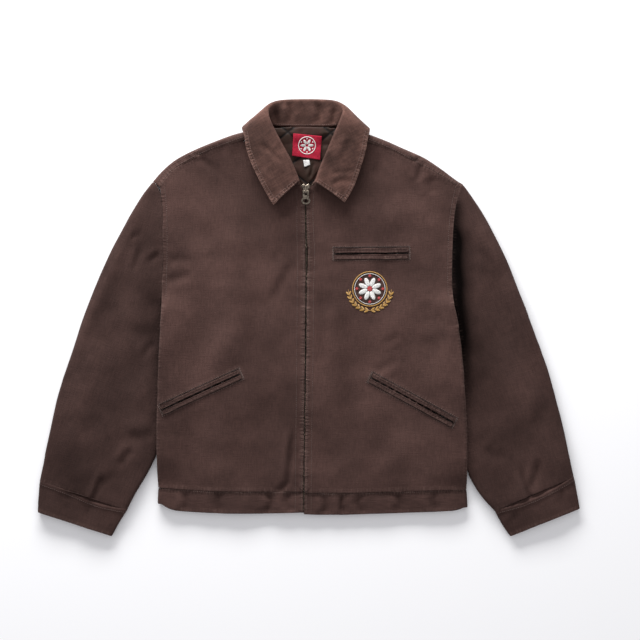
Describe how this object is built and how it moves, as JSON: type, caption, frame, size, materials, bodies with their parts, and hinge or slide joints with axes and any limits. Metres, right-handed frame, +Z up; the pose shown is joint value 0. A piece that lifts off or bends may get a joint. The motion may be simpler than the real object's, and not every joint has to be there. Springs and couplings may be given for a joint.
{
  "type": "ranch jacket",
  "caption": "Boxy zip-front work jacket laid flat: canvas body with quilted lining, turned-down collar, banded hem and cuffs, slanted hand pockets.",
  "frame": {"origin": "middle of the jacket as it lies, on the surface under its back", "axes": "+X towards the wearer's left sleeve, +Y towards the collar, +Z up out of the front"},
  "size_m": [0.935, 0.7528, 0.0358],
  "materials": {
    "canvas": "washed brown cotton canvas",
    "collar_canvas": "fine-ribbed brown cotton, a little redder and lighter",
    "lining_cloth": "diamond-quilted brown lining",
    "label_red": "red woven label",
    "label_white": "white woven tab",
    "zip_cloth": "dark brown zip tape",
    "zip_metal": "aged brass"
  },
  "bodies": {
    "jacket": {"back": "canvas", "front_right": "canvas", "front_left": "canvas", "yoke_right": "canvas", "yoke_left": "canvas", "sleeve_right": "canvas", "sleeve_left": "canvas", "cuff_right": "canvas", "cuff_left": "canvas", "hem_band_right": "canvas", "hem_band_left": "canvas", "hem_band_back": "canvas", "collar": "collar_canvas", "lining_back": "lining_cloth", "neck_label": "label_red", "size_tab": "label_white", "zip_tape_right": "zip_cloth", "zip_tape_left": "zip_cloth", "zip_chain": "zip_metal", "zip_slider": "zip_metal", "hand_welt_right_upper": "canvas", "hand_welt_right_lower": "canvas", "hand_welt_left_upper": "canvas", "hand_welt_left_lower": "canvas", "chest_welt_upper": "canvas", "chest_welt_lower": "canvas"},
    "pull_tab": {"zip_pull": "zip_metal"}
  },
  "joints": [
    {"name": "pull_swing", "type": "hinge", "parent": "jacket", "child": "pull_tab", "pos_m": [-0.0045, 0.2174, 0.0179], "axis": [-1, 0, 0], "range_deg": [0, 120]}
  ]
}
